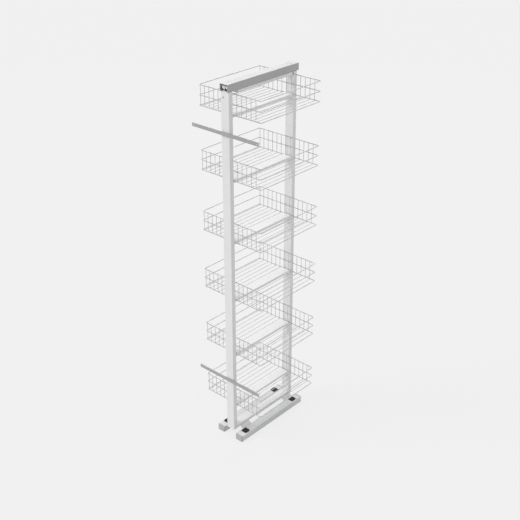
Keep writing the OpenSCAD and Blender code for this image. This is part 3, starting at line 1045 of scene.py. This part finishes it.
@dataclass
class Mast(Assembly):
    """The painted frame: uprights, beams and saddles, with the weld seams at the beams' ends.

    Attributes:
        beams: How many basket beams there are.
        ripple: Distance between the ripples of a weld seam.
        lap: Half a ripple's length, as a share of that distance.
        leg: How far a seam stands out of its corner.
        sink: How far its middle lies inside the corner.
        hex_r: Radius over the corners of a saddle screw's head.
        hex_h: Height of that head.
        nut_h: Height of its nut.
        nut_edge: Bevel of the nut.
        saddle_screw_r: Radius of its shank.
        tube_wall: Thickness of the base beam's wall.
    """

    beams: int = 6
    ripple: float = 2.3 * MM
    lap: float = 0.75
    leg: float = 2.1 * MM
    sink: float = 0.5 * MM
    hex_r: float = 5.5 * MM
    hex_h: float = 4 * MM
    nut_h: float = 4.5 * MM
    nut_edge: float = 0.5 * MM
    saddle_screw_r: float = 3 * MM
    tube_wall: float = 2 * MM

    def build(self) -> None:
        """Dresses the frame, lays its weld seams and makes the saddles' screws."""
        beams = [f"shelf_beam_{number}" for number in range(1, self.beams + 1)]
        self.dress(FRAME_PAINT, "front_upright", "rear_upright", "base_beam", *beams)
        self.dress(FRAME_PAINT, "top_beam", "front_saddle", "rear_saddle")
        self.dress(FASTENER_ZINC, "saddle_rivets")
        seams = {f"{beam}_welds": (0, 0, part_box(beam)[0].z) for beam in beams}
        self.settle(self.seams(beams[0], -1).spread(seams), FRAME_PAINT, "frame")
        seams = {"base_beam_welds": (0, 0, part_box("base_beam")[1].z)}
        self.settle(self.seams("base_beam", 1).spread(seams), FRAME_PAINT, "frame")
        node = "saddle_screws"
        self.settle(self.saddle_screw().spread(self.saddle_places()), FASTENER_ZINC, "frame", node)

    def seams(self, beam: str, side: int) -> Piece:
        """Lays a rippled seam across both ends of a beam, with the welded face at height 0.

        Args:
            beam: The beam's node.
            side: 1 if the seams lie above that face, and -1 if they lie below it.

        Returns:
            Both seams as one piece.
        """
        low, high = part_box(beam)
        reach = (high.x - low.x) / 2 - 2 * self.leg
        count = round(2 * reach / self.ripple)
        places = [
            (reach * (2 * step / count - 1), y, -side * self.sink)
            for y in (low.y - self.sink, high.y + self.sink)
            for step in range(count + 1)
        ]
        bead = Vector((self.lap * self.ripple, self.leg, self.leg))
        return Piece.beads("seams", bead, places).smooth(angle=60)

    def saddle_screw(self) -> Piece:
        """Makes a hexagon screw that looks down, with its nut inside the base beam.

        Returns:
            Screw and nut as one piece, with the head's top at the origin.
        """
        low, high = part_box("saddle_screws")
        shank_l = high.z - low.z - self.hex_h
        screw = Screw(HeadStyle.HEX, self.hex_r, self.hex_h, self.saddle_screw_r, shank_l)
        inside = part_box("base_beam")[0].z + self.tube_wall - low.z
        made = screw.make("saddle_screw").face(-Z_AXIS)
        nut = Piece.disc("nut", self.hex_r, inside, inside + self.nut_h, HEXAGON)
        nut.pick(Element.EDGE, level_at(inside + self.nut_h)).bevel(self.nut_edge, segments=2)
        return made.join(nut).smooth(angle=32)

    def saddle_places(self) -> dict[str, Vector]:
        """Where the saddle screws go.

        Returns:
            Each screw's name, and the place of its head.
        """
        low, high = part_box("saddle_screws")
        across, deep = self.hex_r, self.hex_r * math.cos(math.radians(30))
        return {
            f"saddle_screw_{end}_{side}": Vector((x, y, low.z))
            for end, y in (("front", low.y + deep), ("rear", high.y - deep))
            for side, x in (("left", low.x + across), ("right", high.x - across))
        }


@dataclass
class DoorCrossbars(Assembly):
    """The two crossbars that carry the door, with their countersunk screws.

    Attributes:
        head_r: Radius of a screw's head.
        head_h: Height of its cone.
        shank_r: Radius of its shank.
    """

    head_r: float = 4.4 * MM
    head_h: float = 2 * MM
    shank_r: float = 2.05 * MM

    def build(self) -> None:
        """Dresses the crossbars and makes their four screws."""
        self.dress(CROSSBAR_ZINC, "lower_crossbar", "upper_crossbar")
        node = "crossbar_screws"
        low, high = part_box(node)
        length = high.y - low.y - self.head_h
        screw = Screw(HeadStyle.COUNTERSUNK, self.head_r, self.head_h, self.shank_r, length)
        places = {
            f"{level}_{side}_crossbar_screw": Vector((x, low.y, z))
            for level, z in (("lower", low.z + self.head_r), ("upper", high.z - self.head_r))
            for side, x in (("left", low.x + self.head_r), ("right", high.x - self.head_r))
        }
        made = screw.make("crossbar_screw").face(-Y_AXIS)
        self.settle(made.spread(places), FASTENER_ZINC, "frame", node)


@dataclass
class TopGuide(Assembly):
    """The strap over the uprights, with its screws, the axles and the four guide rollers.

    Attributes:
        head_r: Radius of a strap screw's head.
        head_h: Height of that head.
        shank_r: Radius of its shank.
        grip: Length of its shank.
        bore_r: Radius of a roller's bore.
        rim: Width of a roller's tread ring, seen from above.
        hub_r: Radius of a roller's hub.
        recess: Depth of the ring between tread and hub.
        step: Width of the slopes beside that ring.
        edge: Rounding of a roller's tread.
    """

    head_r: float = 4.4 * MM
    head_h: float = 2.2 * MM
    shank_r: float = 2.05 * MM
    grip: float = 9 * MM
    bore_r: float = 3.05 * MM
    rim: float = 2.4 * MM
    hub_r: float = 5.4 * MM
    recess: float = 1.6 * MM
    step: float = 0.3 * MM
    edge: float = 1.2 * MM

    def build(self) -> None:
        """Dresses the strap and axles, and makes the screws and rollers."""
        self.dress(RUNNER_ZINC, "top_strap")
        self.dress(FASTENER_ZINC, "roller_axles")
        node = "strap_screws"
        low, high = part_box(node)
        x, z = (low.x + high.x) / 2, (low.z + high.z) / 2
        screw = Screw(HeadStyle.PAN, self.head_r, self.head_h, self.shank_r, self.grip)
        for name, y, way in (("front", low.y, -Y_AXIS), ("rear", high.y, Y_AXIS)):
            made = screw.make("strap_screw").face(way)
            placed = made.spread({f"{name}_strap_screw": Vector((x, y, z))})
            self.settle(placed, FASTENER_ZINC, "frame", node)
        nodes = [f"{end}_{side}_roller" for end in ("front", "rear") for side in ("left", "right")]
        places = {f"{node}_moulding": sum(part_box(node), Vector()) / 2 for node in nodes}
        for node, roller in zip(nodes, self.roller(nodes[0]).spread(places)):
            self.settle([roller], ROLLER_NYLON, node, node)

    def roller(self, node: str) -> Piece:
        """Makes a roller with a rounded tread, a sunk ring on both faces and its bore.

        Args:
            node: A roller's node, for its size.

        Returns:
            The roller, with its middle at the origin.
        """
        low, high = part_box(node)
        radius, half = (high.x - low.x) / 2, (high.z - low.z) / 2
        roller = Piece.disc("roller", radius, -half, half, sides=48)
        roller.pick(Element.EDGE, level_at(-half, half)).bevel(self.edge, segments=4)
        ring_w = radius - self.edge - self.rim - self.hub_r - 2 * self.step
        for way in (Z_AXIS, -Z_AXIS):
            roller.pick(Element.FACE, central(way)).inset(self.rim).inset(self.step, self.recess)
            roller.inset(ring_w).inset(self.step, -self.recess)
            roller.inset(self.hub_r - self.bore_r - self.step).inset(self.step, self.step)
        middles = (central(Z_AXIS), central(-Z_AXIS))
        roller.pick(Element.FACE, lambda *face: any(is_middle(*face) for is_middle in middles))
        return roller.bridge().smooth()


# ---- Baskets -----------------------------------------------------------------------------


@dataclass
class WireBaskets(Assembly):
    """The wire baskets, with a weld at every crossing of wires and a domed tip on each wire.

    Attributes:
        count: How many baskets there are.
        ring_r: Radius of the ring wires.
        wire_r: Radius of the bent wires.
        wire_inset: Distance from a ring's axis to that of the wire welded inside it.
        spacing: Distance between bent wires.
        pairs: How many bent wires there are on each side of the middle.
        corner_inset: Distance of the extra bent wire from the left side of the rings.
        ring_heights: Heights of the three rings above the lowest.
        wire_rise: How far the bent wires stand above the axis of the top ring.
        nugget: Half a weld's size along X, Y and Z.
        dome: Height of a tip's dome, as a share of its wire's radius.
    """

    count: int = 6
    ring_r: float = 2.5 * MM
    wire_r: float = 1.5 * MM
    wire_inset: float = 3.5 * MM
    spacing: float = 31.2 * MM
    pairs: int = 6
    corner_inset: float = 6.3 * MM
    ring_heights: tuple[float, float, float] = (0.0, 53.9 * MM, 107.1 * MM)
    wire_rise: float = 1 * MM
    nugget: tuple[float, float, float] = (2.25 * MM, 1.5 * MM, 2.2 * MM)
    dome: float = 0.8

    def build(self) -> None:
        """Dresses the wires, and makes each basket's welds and tips."""
        bodies = [f"basket_{number}" for number in range(1, self.count + 1)]
        for body in bodies:
            nodes = [f"{body}_{part}" for part in ("floor", "ends", "sides")]
            self.dress(CHROME_WIRE, *nodes)
            self.let_sky_past(*nodes)
        places = {body: (0, 0, self.base_z(body)) for body in bodies}
        welds = self.welds().spread({f"{body}_welds": place for body, place in places.items()})
        tips = self.tips().spread({f"{body}_wire_tips": place for body, place in places.items()})
        for body, weld, tip in zip(bodies, welds, tips):
            self.settle([weld], WIRE_WELD, body)
            self.settle([tip], CHROME_WIRE, body)

    def base_z(self, body: str) -> float:
        """The height of the lowest ring's axis."""
        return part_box(f"{body}_ends")[1].z - self.ring_r - self.ring_heights[-1]

    def wires(self) -> list[float]:
        """Where the bent wires stand across the unit.

        Returns:
            Each wire's place along X.
        """
        even = [(step + 0.5) * self.spacing for step in range(-self.pairs, self.pairs)]
        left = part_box("basket_1_ends")[0].x + self.ring_r
        return [left + self.corner_inset, *even]

    def on_wires(self, inwards: float, *heights: float) -> list[tuple[float, float, float]]:
        """Places on every bent wire, at both ends of a basket.

        Args:
            inwards: How far they lie inside the axis of the rings' end.
            heights: Their heights above the lowest ring.

        Returns:
            The places.
        """
        low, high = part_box("basket_1_ends")
        ends = low.y + self.ring_r + inwards, high.y - self.ring_r - inwards
        return [(x, y, height) for y in ends for height in heights for x in self.wires()]

    def welds(self) -> Piece:
        """Makes the small nuggets where bent wires cross the rings.

        Returns:
            All of a basket's welds as one piece, with the lowest ring at height 0.
        """
        contact = (self.ring_r + self.wire_inset - self.wire_r) / 2
        places = self.on_wires(contact, *self.ring_heights)
        return Piece.beads("welds", Vector(self.nugget), places).smooth(angle=80)

    def tips(self) -> Piece:
        """Makes the domed tips of the bent wires.

        Returns:
            All of a basket's tips as one piece, with the lowest ring at height 0.
        """
        places = self.on_wires(self.wire_inset, self.ring_heights[-1] + self.wire_rise)
        bead = Vector((self.wire_r, self.wire_r, self.dome * self.wire_r))
        return Piece.beads("tips", bead, places).smooth(angle=80)


# ---- Studio ------------------------------------------------------------------------------


@dataclass
class Studio:
    """The photographer's set: a pale sweep, a soft key light, an overhead panel and the camera.

    Attributes:
        azimuth: Camera's bearing round the unit, in degrees from the front towards the right.
        elevation: Camera's height above the horizon, in degrees.
        distance: Camera's distance from its target.
        target: The point in the middle of the picture.
        lens: Focal length, in millimetres.
        sensor: Width of the camera's sensor, in millimetres.
        sight: How far the camera sees.
        backdrop: Level of floor and sky, where the camera and reflections see them.
        sky_base: Level of the sky at the horizon, as a light.
        sky_rise: How much is added at the zenith.
        sky_front: How much is added in front, and taken away behind.
        zenith_share: Share of sky_rise that a level surface gets: the mean of Z over the sky,
            weighted as such a surface sees it.
        floor_size: Length of the floor's sides.
        floor_drop: How far the floor lies below the unit's feet.
        floor_colour: Colour of the floor as it throws light back.
        floor_shadow: How much of the floor's seen level takes part in shadows.
        key_from: Where the key light comes from.
        key_level: Level of the key light on a surface that faces it.
        key_softness: Width of the key light, in degrees.
        panel_level: Level of the overhead panel.
        panel_size: Its width.
        panel_reach: Its distance from the unit's top.
    """

    azimuth: float = 41.94
    elevation: float = 27.57
    distance: float = 5.063
    target: tuple[float, float, float] = (-0.0009, -0.0035, 1.0457)
    lens: float = 64.15
    sensor: float = 36.0
    sight: float = 500.0
    backdrop: float = 0.871
    sky_base: float = 0.41
    sky_rise: float = 0.55
    sky_front: float = 0.22
    zenith_share: float = 2 / 3
    floor_size: float = 160.0
    floor_drop: float = 0.5 * MM
    floor_colour: float = 0.66
    floor_shadow: float = 0.1
    key_from: tuple[float, float, float] = (-0.663, -0.749, 0.966)
    key_level: float = 0.365
    key_softness: float = 25.0
    panel_level: float = 1.8
    panel_size: float = 3.2
    panel_reach: float = 6.0

    def build(self) -> None:
        """Sets up world, floor, lights and camera."""
        clear_bench()
        self.add_world()
        self.add_floor()
        self.add_lights()
        self.add_camera()
        bpy.context.scene.view_settings.view_transform = "Standard"

    @staticmethod
    def seen(graph: Graph) -> Signal:
        """Tells the rays that see from those that carry light.

        Args:
            graph: The graph that asks.

        Returns:
            1 for camera, glossy and transmission rays, and 0 for all others.
        """
        camera = graph.add("ShaderNodeLightPath", output="Is Camera Ray")
        total = camera + camera.sibling("Is Glossy Ray") + camera.sibling("Is Transmission Ray")
        return total.at_most(1.0)

    def add_world(self) -> None:
        """Makes the sky, which as a light is stronger overhead and in front."""
        world = bpy.data.worlds.new("sweep sky")
        world.cycles.sampling_method = "NONE"
        bpy.context.scene.world = world
        graph = Graph(world)
        way = graph.add("ShaderNodeTexCoord", output="Generated")
        across = graph.add("ShaderNodeSeparateXYZ", {}, {0: way})
        overhead, behind = across.sibling("Z"), across.sibling("Y")
        lit = self.sky_base + overhead * self.sky_rise - behind * self.sky_front
        colour = graph.between(lit, (self.backdrop,) * 3, self.seen(graph))
        sky = graph.add("ShaderNodeBackground", {}, {"Color": colour})
        graph.add("ShaderNodeOutputWorld", {}, {"Surface": sky})

    def add_floor(self) -> None:
        """Lays the floor, which looks like the sky and still takes the unit's shadow."""
        place = (0, 0, -self.floor_drop)
        bpy.ops.mesh.primitive_plane_add(size=self.floor_size, location=place)
        floor = bpy.context.object
        floor.name = "studio_floor"
        material = bpy.data.materials.new("floor sweep")
        floor.data.materials.append(material)
        graph = Graph(material)
        key = self.key_level * Vector(self.key_from).normalized().z
        daylight = self.sky_base + self.sky_rise * self.zenith_share + key
        glow = self.backdrop - self.floor_shadow * daylight
        bounce = graph.add("ShaderNodeBsdfDiffuse", {}, {"Color": (self.floor_colour,) * 3})
        shadow = graph.add("ShaderNodeBsdfDiffuse", {}, {"Color": (self.floor_shadow,) * 3})
        light = graph.add("ShaderNodeEmission", {}, {"Color": (glow,) * 3})
        shown = graph.add("ShaderNodeAddShader", {}, {0: shadow, 1: light})
        mixed = graph.add("ShaderNodeMixShader", {}, {0: self.seen(graph), 1: bounce, 2: shown})
        graph.add("ShaderNodeOutputMaterial", {}, {"Surface": mixed})

    def add_lights(self) -> None:
        """Adds the soft key light, and the panel that the level metal faces mirror."""
        way = Vector(self.key_from)
        bpy.ops.object.light_add(type="SUN", rotation=way.to_track_quat("Z", "Y").to_euler())
        key = bpy.context.object
        key.visible_glossy = False
        key.data.energy = self.key_level * math.pi
        key.data.angle = math.radians(self.key_softness)
        back = self.backwards()
        mirrored = Vector((-back.x, -back.y, back.z))
        bpy.ops.object.light_add(
            type="AREA",
            location=Vector((0, 0, CAD_BOX[1].z)) + mirrored * self.panel_reach,
            rotation=mirrored.to_track_quat("Z", "Y").to_euler(),
        )
        panel = bpy.context.object
        panel.visible_camera = False
        panel.data.shape = "DISK"
        panel.data.size = self.panel_size
        panel.data.energy = self.panel_level * math.pi**2 * (self.panel_size / 2) ** 2

    def backwards(self) -> Vector:
        """The direction from the camera's target to the camera.

        Returns:
            The direction, of length 1.
        """
        turn, rise = math.radians(self.azimuth), math.radians(self.elevation)
        level = math.cos(rise)
        return Vector((math.sin(turn) * level, -math.cos(turn) * level, math.sin(rise)))

    def add_camera(self) -> None:
        """Sets the camera where the photograph was taken from."""
        back = self.backwards()
        bpy.ops.object.camera_add(
            location=Vector(self.target) + back * self.distance,
            rotation=(-back).to_track_quat("-Z", "Y").to_euler(),
        )
        camera = bpy.context.object
        camera.data.lens = self.lens
        camera.data.sensor_width = self.sensor
        camera.data.clip_end = self.sight
        bpy.context.scene.camera = camera


def main() -> None:
    """Builds the studio and every sub-assembly, and reports each piece."""
    logging.basicConfig(level=logging.INFO, format="%(name)s: %(message)s")
    Studio().build()
    for part in (FloorRails, GuideRail, Runners, Mast, DoorCrossbars, TopGuide, WireBaskets):
        part().build()
        log.info("%s is finished", part.__name__)


if __name__ == "__main__":
    main()
